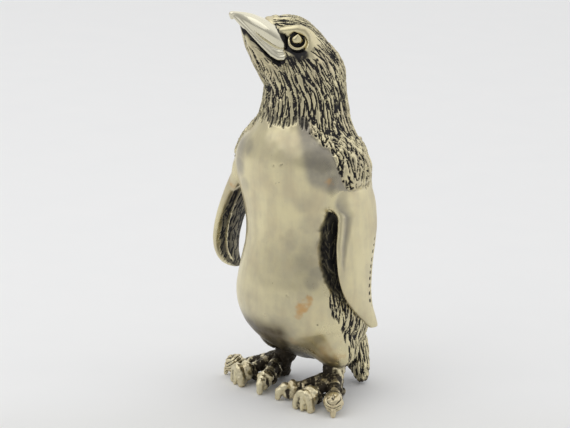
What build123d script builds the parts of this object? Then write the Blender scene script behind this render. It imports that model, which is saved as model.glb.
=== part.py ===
from build123d import *
import os
from collections import namedtuple
from math import cos, radians, sin

# Cast silver penguin figurine, put together from castings with solder.
# The trunk is two hollow half shells with a lapped seam on the flanks. The hollow hood, which is
# head and neck in one, stands on the trunk with a sleeve inside the collar. Beak, eyes, flippers,
# tail, legs and toes are solid castings, each with a peg in a socket of what carries it.
# The bird faces -Y, its left side is +X and the floor is Z = 0. All sizes are millimetres.

# Walls and joints
wall = 1.2
solder_gap = 0.05
seam_forward = 4.2
seam_lip_wall = 0.6
seam_lip_length = 1.2
collar_joint_height = 39.6
collar_joint_tilt = 18.0
collar_sleeve_wall = 0.8
collar_sleeve_depth = 2.0
vent_hole_diameter = 1.6

# Girths of trunk and neck from the floor up: full width, full depth, and how far behind the axis
# the middle lies
vent_height, vent_width, vent_depth, vent_back = 5.2, 8.0, 7.0, 3.6
rump_height, rump_width, rump_depth, rump_back = 8.4, 16.2, 14.8, 2.6
haunch_height, haunch_width, haunch_depth, haunch_back = 11.5, 18.8, 17.4, 1.4
belly_height, belly_width, belly_depth, belly_back = 15.0, 19.4, 17.4, 0.5
waist_height, waist_width, waist_depth, waist_back = 25.0, 16.8, 14.8, 0.7
shoulder_height, shoulder_width, shoulder_depth, shoulder_back = 35.0, 20.4, 15.2, 0.4
collar_height, collar_width, collar_depth, collar_back = 39.5, 14.0, 13.2, 0.7
throat_height, throat_width, throat_depth, throat_back = 42.6, 11.8, 12.0, 1.1
neck_height, neck_width, neck_depth, neck_back = 46.0, 11.0, 11.1, 1.3

# Feathers of the back: tiers of furrows that run down it, their ends staggered from tier to tier
furrow_depth = 0.3
furrow_width = 0.6
furrow_spacing = 15.75
furrow_lean = 4.0
furrow_back = 0.6
furrow_reach = 16.0
rump_tier_count, rump_tier_bottom, rump_tier_top = 10, 11.2, 20.4
back_tier_count, back_tier_bottom, back_tier_top = 9, 21.2, 30.2
mantle_tier_count, mantle_tier_bottom, mantle_tier_top = 9, 31.6, 36.2

# Girths of the head, which is turned to the bird's right: height, width, length, and how far
# ahead of the neck's axis the middle lies
head_turn = 38.0
cheek_height, cheek_width, cheek_length, cheek_forward = 49.2, 9.8, 9.8, 0.0
brow_height, brow_width, brow_length, brow_forward = 51.9, 8.8, 7.6, 0.7
forehead_height, forehead_width, forehead_length, forehead_forward = 53.5, 6.4, 5.6, 1.6
crown_height, crown_width, crown_length, crown_forward = 54.6, 2.8, 2.6, 2.5

# Upper beak, a wedge set into the face: how far ahead its sections lie, their height, width, rise
# and pitch
beak_seat_forward, beak_seat_height, beak_seat_width, beak_seat_rise = 4.15, 51.85, 6.6, 5.5
beak_seat_pitch = -24.0
beak_root_depth = 1.2
beak_root_width, beak_root_rise = 5.0, 3.8
beak_middle_forward, beak_middle_height, beak_middle_width, beak_middle_rise = 7.0, 53.35, 4.1, 3.3
beak_middle_pitch = 0.0
beak_tip_forward, beak_tip_height, beak_tip_width, beak_tip_rise = 10.5, 55.35, 1.0, 0.7
beak_tip_pitch = 20.0
beak_peg_diameter = 1.6
beak_peg_length = 1.2

# Lower jaw with the throat, in one with the hood
jaw_pitch = 47.0
jaw_root_forward, jaw_root_height, jaw_root_width, jaw_root_rise = 3.6, 46.2, 8.4, 4.8
jaw_middle_forward, jaw_middle_height, jaw_middle_width, jaw_middle_rise = 6.4, 49.2, 5.4, 2.7
jaw_end_forward, jaw_end_height, jaw_end_width, jaw_end_rise = 8.5, 52.3, 2.8, 1.3
jaw_tip_forward, jaw_tip_height, jaw_tip_width, jaw_tip_rise = 10.0, 54.5, 1.0, 0.6

# Eyes: a flat socket, a ring of wire in it and a bead on a peg
eye_forward = 2.0
eye_height = 51.9
eye_socket_floor = 3.5
eye_socket_reach = 3.0
eye_ring_diameter = 2.9
eye_ring_wire = 0.7
eye_bead_diameter = 1.3
eye_peg_diameter = 0.6
eye_peg_length = 0.8

# Flippers. down runs along the blade from the shoulder, out leads away from the body and sweep
# leads back. The left one hangs at the side, the right one is shorter and held off the body.
Blade = namedtuple("Blade", "down chord thickness out sweep")
shoulder_joint_height = 35.0
shoulder_joint_side = 7.4
shoulder_joint_back = 1.2
left_flipper_spread = 1.0
left_flipper_swing = 2.0
left_flipper_blades = [
    Blade(down=-1.0, chord=4.4, thickness=2.2, out=0.8, sweep=0),
    Blade(down=6.5, chord=8.6, thickness=2.6, out=1.8, sweep=0),
    Blade(down=13.5, chord=7.8, thickness=1.9, out=2.6, sweep=-0.9),
    Blade(down=18.0, chord=5.8, thickness=1.6, out=2.9, sweep=-0.7),
    Blade(down=21.5, chord=3.3, thickness=1.3, out=3.2, sweep=1.0),
    Blade(down=23.6, chord=1.5, thickness=0.9, out=3.4, sweep=2.5),
]
right_flipper_spread = 16.0
right_flipper_swing = -4.0
right_flipper_blades = [
    Blade(down=-1.0, chord=4.4, thickness=2.4, out=1.0, sweep=-0.4),
    Blade(down=5.8, chord=7.8, thickness=2.6, out=1.7, sweep=-0.8),
    Blade(down=12.2, chord=6.6, thickness=1.9, out=2.8, sweep=-1.4),
    Blade(down=17.5, chord=5.2, thickness=1.5, out=3.0, sweep=-0.9),
    Blade(down=21.8, chord=1.8, thickness=0.9, out=2.6, sweep=2.2),
]
flipper_peg_diameter = 2.4
flipper_peg_down = 6.0
flipper_peg_out = 2.4
flipper_peg_length = 3.8

# Tail, a blunt stub under the rump, a little to the bird's left
tail_root_side, tail_root_back, tail_root_height = 1.8, 7.6, 8.8
tail_root_width, tail_root_thickness = 6.4, 4.6
tail_middle_side, tail_middle_back, tail_middle_height = 2.6, 9.4, 4.6
tail_middle_width, tail_middle_thickness = 5.0, 3.6
tail_tip_side, tail_tip_back, tail_tip_height = 4.9, 8.6, 0.9
tail_tip_width, tail_tip_thickness = 2.0, 1.8
tail_peg_diameter = 1.4
tail_peg_length = 4.2
tail_peg_lean = 30.0

# Legs and feet. The left foot stands ahead of the right, which is turned out.
leg_side = 5.8
leg_back = 1.9
leg_stride = 0.9
sole_width, sole_length = 3.4, 4.2
instep_height, instep_width, instep_length = 1.9, 4.4, 5.0
ankle_height, ankle_diameter = 3.9, 3.8
leg_top_height, leg_top_diameter = 9.6, 4.8
thigh_height, thigh_diameter = 8.0, 6.8
leg_peg_diameter = 2.0
leg_peg_length = 4.8
left_foot_turn = 0.0
right_foot_turn = 24.0
left_toe_splays = (-42.0, 0.0, 37.0)
right_toe_splays = (-42.0, 0.0, 34.0)
toe_length = 7.0
toe_root_height = 2.2
toe_root_reach = 1.9
toe_root_diameter = 1.1
toe_knuckle_reach = 4.6
toe_knuckle_diameter = 2.4
toe_neck_reach = 5.6
toe_neck_diameter = 1.7
toe_pad_diameter = 3.2
toe_pad_height = 1.55
toe_peg_diameter = 0.6
toe_peg_start = 1.4
toe_peg_length = 1.6
claw_reach = 1.55
claw_root_diameter = 1.2
claw_tip_diameter = 0.7

Girth = namedtuple("Girth", "height width depth place turn")
left_of_head = Vector(cos(radians(head_turn)), -sin(radians(head_turn)), 0)
gaze = Vector(-sin(radians(head_turn)), -cos(radians(head_turn)), 0)


def ahead(forward):
    """The place in plan that lies this far ahead of the neck's axis, the way the bird looks."""
    return (gaze.X * forward, neck_back + gaze.Y * forward)


girths = [
    Girth(vent_height, vent_width, vent_depth, (0, vent_back), 0),
    Girth(rump_height, rump_width, rump_depth, (0, rump_back), 0),
    Girth(haunch_height, haunch_width, haunch_depth, (0, haunch_back), 0),
    Girth(belly_height, belly_width, belly_depth, (0, belly_back), 0),
    Girth(waist_height, waist_width, waist_depth, (0, waist_back), 0),
    Girth(shoulder_height, shoulder_width, shoulder_depth, (0, shoulder_back), 0),
    Girth(collar_height, collar_width, collar_depth, (0, collar_back), 0),
    Girth(throat_height, throat_width, throat_depth, (0, throat_back), 0),
    Girth(neck_height, neck_width, neck_depth, (0, neck_back), head_turn / 2),
    Girth(cheek_height, cheek_width, cheek_length, ahead(cheek_forward), head_turn),
    Girth(brow_height, brow_width, brow_length, ahead(brow_forward), head_turn),
    Girth(forehead_height, forehead_width, forehead_length, ahead(forehead_forward), head_turn),
    Girth(crown_height, crown_width, crown_length, ahead(crown_forward), head_turn),
]
hollow_girths = girths[:-2]

seam_plane = Plane(origin=(0, -seam_forward, 0), x_dir=(1, 0, 0), z_dir=(0, 1, 0))
collar_plane = Plane(origin=(0, 0, collar_joint_height)).rotated((-collar_joint_tilt, 0, 0))


def turned_plane(x, y, z, turn):
    """A level plane whose own X is the bird's left, turned to its right by turn degrees."""
    return Plane(origin=(x, y, z), x_dir=(cos(radians(turn)), -sin(radians(turn)), 0), z_dir=(0, 0, 1))


def bird_form(inset, chosen):
    """A closed form through the chosen girths, drawn in by inset on every side."""
    with BuildPart() as form:
        for girth in chosen:
            rise = inset if girth is chosen[0] else -inset if girth is chosen[-1] else 0
            with BuildSketch(turned_plane(*girth.place, girth.height + rise, girth.turn)):
                Ellipse(girth.width / 2 - inset, girth.depth / 2 - inset)
        loft()
    return form.part


def band(form, core, plane, near, far):
    """The ring of form around core, between two planes parallel to plane."""
    with BuildPart() as ring:
        add(form)
        add(core, mode=Mode.SUBTRACT)
        split(bisect_by=plane.offset(near), keep=Keep.TOP)
        split(bisect_by=plane.offset(far), keep=Keep.BOTTOM)
    return ring.part


def furrow_tier(count, bottom, top, floor):
    """Cuts for one tier of furrows, spread evenly about the middle of the back, down to floor."""
    cuts = []
    for number in range(count):
        turn = (number - (count - 1) / 2) * furrow_spacing
        lean = furrow_lean if number % 2 else -furrow_lean
        place = Location((0, furrow_back, (bottom + top) / 2), (0, 0, -turn)) * Location((0, 0, 0), (0, lean, 0))
        with BuildPart() as furrow:
            with Locations(place):
                Box(furrow_width, furrow_reach, top - bottom, align=(Align.CENTER, Align.MIN, Align.CENTER))
            add(floor, mode=Mode.SUBTRACT)
        cuts.append(furrow.part)
    return cuts


def peg(plane, diameter, length):
    """A round peg that starts at the plane's origin and runs along its normal."""
    with BuildPart() as pin:
        with BuildSketch(plane):
            Circle(diameter / 2)
        extrude(amount=length)
    return pin.part


def socket(plane, diameter, length):
    """The hole for such a peg, a solder gap wider and deeper than it."""
    return peg(plane.offset(-solder_gap), diameter + 2 * solder_gap, length + 2 * solder_gap)


def head_plane(forward, height, pitch):
    """A plane in the middle of the head, across the gaze, pitched up by pitch degrees."""
    normal = gaze * cos(radians(pitch)) + Vector(0, 0, sin(radians(pitch)))
    return Plane(origin=(*ahead(forward), height), x_dir=left_of_head, z_dir=normal)


def beak_form(outset):
    """The upper beak with its root in the face, grown by outset on every side."""
    seat = head_plane(beak_seat_forward, beak_seat_height, beak_seat_pitch)
    middle = head_plane(beak_middle_forward, beak_middle_height, beak_middle_pitch)
    tip = head_plane(beak_tip_forward, beak_tip_height, beak_tip_pitch)
    stations = [
        (seat.offset(-beak_root_depth - outset), beak_root_width, beak_root_rise),
        (seat, beak_seat_width, beak_seat_rise),
        (middle, beak_middle_width, beak_middle_rise),
        (tip.offset(outset), beak_tip_width, beak_tip_rise),
    ]
    with BuildPart() as form:
        for plane, width, rise in stations:
            with BuildSketch(plane):
                Ellipse(width / 2 + outset, rise / 2 + outset)
        loft()
    return form.part


def jaw_form():
    """The lower jaw and throat, a cone that rises to the tip of the beak."""
    stations = [
        (jaw_root_forward, jaw_root_height, jaw_root_width, jaw_root_rise),
        (jaw_middle_forward, jaw_middle_height, jaw_middle_width, jaw_middle_rise),
        (jaw_end_forward, jaw_end_height, jaw_end_width, jaw_end_rise),
        (jaw_tip_forward, jaw_tip_height, jaw_tip_width, jaw_tip_rise),
    ]
    with BuildPart() as form:
        for forward, height, width, rise in stations:
            with BuildSketch(head_plane(forward, height, jaw_pitch)):
                Ellipse(width / 2, rise / 2)
        loft()
    return form.part


def eye_plane(side, facing):
    """The floor of an eye's socket, facing out of the head or into it. side is 1 left and -1 right."""
    x, y = ahead(eye_forward)
    origin = Vector(x, y, eye_height) + left_of_head * (side * eye_socket_floor)
    return Plane(origin=origin, x_dir=(0, 0, 1), z_dir=left_of_head * (side * facing))


def flipper_frame(side, spread, swing):
    """The shoulder's own frame: X across the body, Z up along the blade, spread out and swung forward."""
    shoulder = Location((side * shoulder_joint_side, shoulder_joint_back, shoulder_joint_height))
    return shoulder * Location((0, 0, 0), (-swing, -side * spread, 0))


def flipper_form(side, spread, swing, blades):
    """A blade through ellipses across it, from inside the shoulder to the tip."""
    frame = flipper_frame(side, spread, swing)
    with BuildPart() as form:
        for blade in blades:
            with BuildSketch(Plane(frame * Location((side * blade.out, blade.sweep, -blade.down)))):
                Ellipse(blade.thickness / 2, blade.chord / 2)
        loft()
    return form.part


def flipper_peg_plane(side, spread, swing):
    """Where a flipper's peg starts, in the middle of its arm, facing into the body."""
    start = flipper_frame(side, spread, swing) * Location((side * flipper_peg_out, 0, -flipper_peg_down))
    return Plane(origin=start.position, x_dir=(0, 1, 0), z_dir=(-side, 0, 0))


def leg_place(side):
    """Where a leg stands in plan. side is 1 for the left and -1 for the right."""
    return (side * leg_side, leg_back - side * leg_stride)


def thigh_form(side, outset):
    """The round of a thigh under the trunk, grown by outset."""
    with BuildPart() as form:
        with Locations((*leg_place(side), thigh_height)):
            Sphere(thigh_diameter / 2 + outset)
    return form.part


def leg_form(side, turn, outset):
    """A leg from its sole through instep and ankle up into the trunk, grown by outset."""
    stations = [
        (0, sole_width, sole_length),
        (instep_height, instep_width, instep_length),
        (ankle_height, ankle_diameter, ankle_diameter),
        (leg_top_height, leg_top_diameter, leg_top_diameter),
    ]
    with BuildPart() as form:
        for height, width, length in stations:
            with BuildSketch(turned_plane(*leg_place(side), height, -side * turn)):
                Ellipse(width / 2 + outset, length / 2 + outset)
        loft()
    return form.part


def toe_plane(side, turn, splay):
    """The middle of the instep, facing along a toe, which falls a little towards its tip."""
    out = radians(turn + splay)
    fall = (toe_pad_height - toe_root_height) / toe_length
    return Plane(
        origin=(*leg_place(side), toe_root_height),
        x_dir=(cos(out), side * sin(out), 0),
        z_dir=(side * sin(out), -cos(out), fall),
    )


def toe_form(plane, instep):
    """A rod with a ball for a knuckle, a ball for its pad and a claw, cut to fit the instep."""
    claw_tip = plane.offset(toe_length + claw_reach).origin
    with BuildPart() as form:
        with BuildSketch(plane.offset(toe_root_reach)):
            Circle(toe_root_diameter / 2)
        with BuildSketch(plane.offset(toe_neck_reach)):
            Circle(toe_neck_diameter / 2)
        loft()
        with Locations(plane.offset(toe_knuckle_reach)):
            Sphere(toe_knuckle_diameter / 2)
        with Locations(plane.offset(toe_length)):
            Sphere(toe_pad_diameter / 2)
        with BuildSketch(plane.offset(toe_length)):
            Circle(claw_root_diameter / 2)
        with BuildSketch(Plane((claw_tip.X, claw_tip.Y, claw_tip_diameter / 2), plane.x_dir, plane.z_dir)):
            Circle(claw_tip_diameter / 2)
        loft()
        split(bisect_by=Plane.XY, keep=Keep.TOP)
        add(instep, mode=Mode.SUBTRACT)
    return form.part


# The forms that more than one casting follows
outside = bird_form(0, girths)
soldered = bird_form(-solder_gap, girths)
hollow = bird_form(wall, hollow_girths)
sleeve_outside = bird_form(wall + solder_gap, hollow_girths)
sleeve_inside = bird_form(wall + solder_gap + collar_sleeve_wall, hollow_girths)
lip_inside = bird_form(wall + solder_gap + seam_lip_wall, hollow_girths)

# Hood: head, neck and jaw, hollow, with the sleeve that goes down inside the collar
beak_peg_plane = head_plane(beak_seat_forward, beak_seat_height, beak_seat_pitch).offset(-beak_root_depth)
beak_peg_plane = Plane(beak_peg_plane.origin, beak_peg_plane.x_dir, -beak_peg_plane.z_dir)
jaw = jaw_form()
sleeve = band(sleeve_outside, sleeve_inside, collar_plane, -collar_sleeve_depth, 0)
hood_cuts = [sleeve_inside, beak_form(solder_gap), socket(beak_peg_plane, beak_peg_diameter, beak_peg_length)]
for side in (1, -1):
    hood_cuts.append(peg(eye_plane(side, 1), eye_ring_diameter + 2 * solder_gap, eye_socket_reach))
    hood_cuts.append(socket(eye_plane(side, -1), eye_peg_diameter, eye_peg_length))

with BuildPart() as hood:
    add(outside)
    add(jaw)
    split(bisect_by=collar_plane, keep=Keep.TOP)
    add(sleeve)
    for cut in hood_cuts:
        add(cut, mode=Mode.SUBTRACT)
hood.part.label = "hood"

# Upper beak, with the peg that holds it in the face
beak = beak_form(0)
beak_peg = peg(beak_peg_plane, beak_peg_diameter, beak_peg_length)

with BuildPart() as upper_beak:
    add(beak)
    add(beak_peg)
upper_beak.part.label = "upper_beak"

# Eyes: a bead on a peg, in a ring with a flat underside
left_eye_peg = peg(eye_plane(1, -1), eye_peg_diameter, eye_peg_length)
right_eye_peg = peg(eye_plane(-1, -1), eye_peg_diameter, eye_peg_length)

with BuildPart() as left_eye:
    with Locations(eye_plane(1, 1)):
        Sphere(eye_bead_diameter / 2)
    split(bisect_by=eye_plane(1, 1), keep=Keep.TOP)
    add(left_eye_peg)
left_eye.part.label = "left_eye"

with BuildPart() as right_eye:
    with Locations(eye_plane(-1, 1)):
        Sphere(eye_bead_diameter / 2)
    split(bisect_by=eye_plane(-1, 1), keep=Keep.TOP)
    add(right_eye_peg)
right_eye.part.label = "right_eye"

with BuildPart() as left_eye_ring:
    with Locations(eye_plane(1, 1).offset(eye_ring_wire / 4)):
        Torus((eye_ring_diameter - eye_ring_wire) / 2, eye_ring_wire / 2)
    split(bisect_by=eye_plane(1, 1), keep=Keep.TOP)
left_eye_ring.part.label = "left_eye_ring"

with BuildPart() as right_eye_ring:
    with Locations(eye_plane(-1, 1).offset(eye_ring_wire / 4)):
        Torus((eye_ring_diameter - eye_ring_wire) / 2, eye_ring_wire / 2)
    split(bisect_by=eye_plane(-1, 1), keep=Keep.TOP)
right_eye_ring.part.label = "right_eye_ring"

# Flippers, each fitted to the body's side, with a peg through the wall
left_flipper_peg = flipper_peg_plane(1, left_flipper_spread, left_flipper_swing)
left_blade = flipper_form(1, left_flipper_spread, left_flipper_swing, left_flipper_blades)
left_pin = peg(left_flipper_peg, flipper_peg_diameter, flipper_peg_length)
right_flipper_peg = flipper_peg_plane(-1, right_flipper_spread, right_flipper_swing)
right_blade = flipper_form(-1, right_flipper_spread, right_flipper_swing, right_flipper_blades)
right_pin = peg(right_flipper_peg, flipper_peg_diameter, flipper_peg_length)

with BuildPart() as left_flipper:
    add(left_blade)
    add(soldered, mode=Mode.SUBTRACT)
    add(left_pin)
left_flipper.part.label = "left_flipper"

with BuildPart() as right_flipper:
    add(right_blade)
    add(soldered, mode=Mode.SUBTRACT)
    add(right_pin)
right_flipper.part.label = "right_flipper"

# Tail
tail_root = Vector(tail_root_side, tail_root_back, tail_root_height)
tail_middle = Vector(tail_middle_side, tail_middle_back, tail_middle_height)
tail_tip = Vector(tail_tip_side, tail_tip_back, tail_tip_height)
tail_peg_way = (0, -sin(radians(tail_peg_lean)), cos(radians(tail_peg_lean)))
tail_peg_plane = Plane(tail_middle, (1, 0, 0), tail_peg_way)
tail_peg = peg(tail_peg_plane, tail_peg_diameter, tail_peg_length)

with BuildPart() as tail:
    with BuildSketch(Plane(tail_root, (1, 0, 0), tail_tip - tail_root)):
        Ellipse(tail_root_width / 2, tail_root_thickness / 2)
    with BuildSketch(Plane(tail_middle, (1, 0, 0), tail_tip - tail_root)):
        Ellipse(tail_middle_width / 2, tail_middle_thickness / 2)
    with BuildSketch(Plane(tail_tip, (1, 0, 0), tail_tip - tail_root)):
        Ellipse(tail_tip_width / 2, tail_tip_thickness / 2)
    loft()
    add(soldered, mode=Mode.SUBTRACT)
    add(tail_peg)
tail.part.label = "tail"

# Legs and toes
left_leg_peg = Plane(origin=(*leg_place(1), ankle_height))
right_leg_peg = Plane(origin=(*leg_place(-1), ankle_height))
left_toe_planes = [toe_plane(1, left_foot_turn, splay) for splay in left_toe_splays]
right_toe_planes = [toe_plane(-1, right_foot_turn, splay) for splay in right_toe_splays]
left_instep = leg_form(1, left_foot_turn, solder_gap)
right_instep = leg_form(-1, right_foot_turn, solder_gap)
left_toes = [toe_form(plane, left_instep) for plane in left_toe_planes]
right_toes = [toe_form(plane, right_instep) for plane in right_toe_planes]
left_toe_pegs = [peg(p.offset(toe_peg_start), toe_peg_diameter, toe_peg_length) for p in left_toe_planes]
right_toe_pegs = [peg(p.offset(toe_peg_start), toe_peg_diameter, toe_peg_length) for p in right_toe_planes]
left_toe_sockets = [socket(p.offset(toe_peg_start), toe_peg_diameter, toe_peg_length) for p in left_toe_planes]
right_toe_sockets = [socket(p.offset(toe_peg_start), toe_peg_diameter, toe_peg_length) for p in right_toe_planes]
left_thigh_room = thigh_form(1, solder_gap)
right_thigh_room = thigh_form(-1, solder_gap)
left_shank = leg_form(1, left_foot_turn, 0)
right_shank = leg_form(-1, right_foot_turn, 0)
left_shank_peg = peg(left_leg_peg, leg_peg_diameter, leg_peg_length)
right_shank_peg = peg(right_leg_peg, leg_peg_diameter, leg_peg_length)

with BuildPart() as left_leg:
    add(left_shank)
    add(soldered, mode=Mode.SUBTRACT)
    add(left_thigh_room, mode=Mode.SUBTRACT)
    add(left_shank_peg)
    for hole in left_toe_sockets:
        add(hole, mode=Mode.SUBTRACT)
left_leg.part.label = "left_leg"

with BuildPart() as right_leg:
    add(right_shank)
    add(soldered, mode=Mode.SUBTRACT)
    add(right_thigh_room, mode=Mode.SUBTRACT)
    add(right_shank_peg)
    for hole in right_toe_sockets:
        add(hole, mode=Mode.SUBTRACT)
right_leg.part.label = "right_leg"

with BuildPart() as left_inner_toe:
    add(left_toes[0])
    add(left_toe_pegs[0])
left_inner_toe.part.label = "left_inner_toe"

with BuildPart() as left_middle_toe:
    add(left_toes[1])
    add(left_toe_pegs[1])
left_middle_toe.part.label = "left_middle_toe"

with BuildPart() as left_outer_toe:
    add(left_toes[2])
    add(left_toe_pegs[2])
left_outer_toe.part.label = "left_outer_toe"

with BuildPart() as right_inner_toe:
    add(right_toes[0])
    add(right_toe_pegs[0])
right_inner_toe.part.label = "right_inner_toe"

with BuildPart() as right_middle_toe:
    add(right_toes[1])
    add(right_toe_pegs[1])
right_middle_toe.part.label = "right_middle_toe"

with BuildPart() as right_outer_toe:
    add(right_toes[2])
    add(right_toe_pegs[2])
right_outer_toe.part.label = "right_outer_toe"

# Trunk: two half shells. The back one carries the thighs and has a lip inside the front one's seam.
left_thigh = thigh_form(1, 0)
right_thigh = thigh_form(-1, 0)
lip_root = band(hollow, lip_inside, seam_plane, 0, seam_lip_length)
lip = band(sleeve_outside, lip_inside, seam_plane, -seam_lip_length, 0)
sleeve_room = band(hollow, lip_inside, collar_plane, -collar_sleeve_depth - solder_gap, wall)
back_sockets = [
    socket(left_flipper_peg, flipper_peg_diameter, flipper_peg_length),
    socket(right_flipper_peg, flipper_peg_diameter, flipper_peg_length),
    socket(tail_peg_plane, tail_peg_diameter, tail_peg_length),
    socket(left_leg_peg, leg_peg_diameter, leg_peg_length),
    socket(right_leg_peg, leg_peg_diameter, leg_peg_length),
]

furrow_floor = bird_form(furrow_depth, girths)
furrows = furrow_tier(rump_tier_count, rump_tier_bottom, rump_tier_top, furrow_floor)
furrows += furrow_tier(back_tier_count, back_tier_bottom, back_tier_top, furrow_floor)
furrows += furrow_tier(mantle_tier_count, mantle_tier_bottom, mantle_tier_top, furrow_floor)

with BuildPart() as breast_shell:
    add(outside)
    add(hollow, mode=Mode.SUBTRACT)
    split(bisect_by=collar_plane.offset(-solder_gap), keep=Keep.BOTTOM)
    split(bisect_by=seam_plane.offset(-solder_gap), keep=Keep.BOTTOM)
breast_shell.part.label = "breast_shell"

with BuildPart() as back_shell:
    add(outside)
    add(left_thigh)
    add(right_thigh)
    add(hollow, mode=Mode.SUBTRACT)
    split(bisect_by=seam_plane, keep=Keep.TOP)
    add(lip_root)
    add(lip)
    split(bisect_by=collar_plane.offset(-solder_gap), keep=Keep.BOTTOM)
    add(sleeve_room, mode=Mode.SUBTRACT)
    with Locations((0, vent_back, vent_height)):
        Cylinder(vent_hole_diameter / 2, 4 * wall, mode=Mode.SUBTRACT)
    for hole in back_sockets:
        add(hole, mode=Mode.SUBTRACT)
    for furrow in furrows:
        add(furrow, mode=Mode.SUBTRACT)
back_shell.part.label = "back_shell"

# The origin goes to the middle of the footprint, on the floor.
pieces = [
    breast_shell, back_shell, hood, upper_beak, left_eye, right_eye, left_eye_ring, right_eye_ring,
    left_flipper, right_flipper, tail, left_leg, right_leg,
    left_inner_toe, left_middle_toe, left_outer_toe, right_inner_toe, right_middle_toe, right_outer_toe,
]
boxes = [piece.part.bounding_box() for piece in pieces]
middle_side = (min(box.min.X for box in boxes) + max(box.max.X for box in boxes)) / 2
middle_back = (min(box.min.Y for box in boxes) + max(box.max.Y for box in boxes)) / 2
lowest = min(box.min.Z for box in boxes)
print("moved by", -middle_side, -middle_back, -lowest)

os.makedirs("parts", exist_ok=True)
for piece in pieces:
    piece.part.move(Location((-middle_side, -middle_back, -lowest)))
    export_step(piece.part, f"parts/{piece.part.label}.step")
    print(piece.part.label, round(piece.part.volume, 2), len(piece.part.solids()))
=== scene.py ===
# %% [markdown]
# A small cast silver penguin. The solids come from the frame, and this lesson dresses them: the
# skin of the bird is re-meshed finely, feathers are cut into it stroke by stroke, and oxide is left
# in the cuts, the way a silversmith blackens a casting and polishes its high spots.

# %% Frame and tools
from itertools import product
from math import cos, radians, sin

import bmesh
import bpy
import numpy as np
from mathutils import Matrix, Vector
from mathutils.bvhtree import BVHTree
from mathutils.kdtree import KDTree


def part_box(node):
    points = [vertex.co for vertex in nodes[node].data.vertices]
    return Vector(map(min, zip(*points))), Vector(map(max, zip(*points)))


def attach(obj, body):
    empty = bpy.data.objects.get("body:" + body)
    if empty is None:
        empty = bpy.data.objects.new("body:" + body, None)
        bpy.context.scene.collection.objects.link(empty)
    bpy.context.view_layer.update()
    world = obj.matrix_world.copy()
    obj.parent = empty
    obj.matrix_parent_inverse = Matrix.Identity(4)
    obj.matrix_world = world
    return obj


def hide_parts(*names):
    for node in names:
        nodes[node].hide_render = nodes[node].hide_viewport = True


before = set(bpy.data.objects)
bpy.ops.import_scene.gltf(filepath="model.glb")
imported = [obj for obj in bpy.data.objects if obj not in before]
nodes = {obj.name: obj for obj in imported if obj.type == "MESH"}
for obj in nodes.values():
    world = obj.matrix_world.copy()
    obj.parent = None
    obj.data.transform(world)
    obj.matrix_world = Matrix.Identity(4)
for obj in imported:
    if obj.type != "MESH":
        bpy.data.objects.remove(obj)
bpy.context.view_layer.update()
dice = np.random.default_rng(11)
print("nodes:", sorted(nodes))

# %% [markdown]
# The work is done in millimetres around the bird's own axis, because the strokes are tenths of a
# millimetre. The legs stand evenly on both sides of that axis, so their boxes say where it is.

# %% The bird's axis
left_low, left_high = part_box("left_leg")
right_low, right_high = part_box("right_leg")
leg_side, leg_back, leg_stride = 5.8, 1.9, 0.9
axis_side = (left_low[0] + left_high[0] + right_low[0] + right_high[0]) / 4
axis_back = (left_low[1] + left_high[1] + right_low[1] + right_high[1]) / 4 - leg_back / 1000
bird_axis = Vector((axis_side, axis_back, 0))
to_bird = Matrix.Scale(1000, 4) @ Matrix.Translation(-bird_axis)
to_frame = to_bird.inverted()
leg_spots = {
    "left": Vector((leg_side, leg_back - leg_stride, 0)),
    "right": Vector((-leg_side, leg_back + leg_stride, 0)),
}
print("axis at", [round(v * 1000, 3) for v in bird_axis])


def rows(mesh):
    """The vertices of a mesh as rows of an array."""
    flat = np.empty(len(mesh.vertices) * 3)
    mesh.vertices.foreach_get("co", flat)
    return flat.reshape(-1, 3)


def normals(mesh):
    """The vertex normals of a mesh as rows of an array."""
    flat = np.empty(len(mesh.vertices) * 3)
    mesh.vertex_normals.foreach_get("vector", flat)
    return flat.reshape(-1, 3)


def place_rows(mesh, points):
    """Moves the vertices of a mesh to the rows of an array."""
    mesh.vertices.foreach_set("co", np.asarray(points).ravel())
    mesh.update()


def edge_rows(mesh):
    """The two vertices of each edge of a mesh as rows of an array."""
    flat = np.empty(len(mesh.edges) * 2, dtype=np.int64)
    mesh.edges.foreach_get("vertices", flat)
    return flat.reshape(-1, 2)


def mesh_of(name, form):
    """A mesh with the beads or faces that a form holds. The form goes."""
    mesh = bpy.data.meshes.new(name)
    form.to_mesh(mesh)
    form.free()
    return mesh


def show(name, mesh):
    """Links a mesh to the scene as an object at the origin."""
    thing = bpy.data.objects.new(name, mesh)
    bpy.context.scene.collection.objects.link(thing)
    return thing


def finished_mesh(thing):
    """The mesh of an object with its modifiers applied. The object goes."""
    graph = bpy.context.evaluated_depsgraph_get()
    mesh = bpy.data.meshes.new_from_object(thing.evaluated_get(graph))
    bpy.data.objects.remove(thing)
    return mesh


def bead_line(form, spots, radii, count=7):
    """Overlapping balls along a line of spots. A remesh melts them into one rounded limb later."""
    for first, second in zip(zip(spots, radii), zip(spots[1:], radii[1:])):
        for number in range(count + 1):
            share = number / count
            spot = Vector(first[0]).lerp(Vector(second[0]), share)
            radius = first[1] + (second[1] - first[1]) * share
            where = Matrix.Translation(spot)
            bmesh.ops.create_icosphere(form, subdivisions=2, radius=radius, matrix=where)


def cavity(mesh, rounds):
    """How deep each vertex lies below the smoothed surface around it, in the mesh's own unit."""
    first, second = edge_rows(mesh).T
    ends = np.concatenate([first, second])
    others = np.concatenate([second, first])
    count = np.maximum(np.bincount(ends, minlength=len(mesh.vertices)), 1)
    start = rows(mesh)
    smooth = start.copy()
    for _ in range(rounds):
        drawn = [np.bincount(ends, smooth[others, axis], len(start)) / count for axis in range(3)]
        smooth = 0.5 * smooth + 0.5 * np.stack(drawn, axis=1)
    return ((smooth - start) * normals(mesh)).sum(axis=1)


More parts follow.
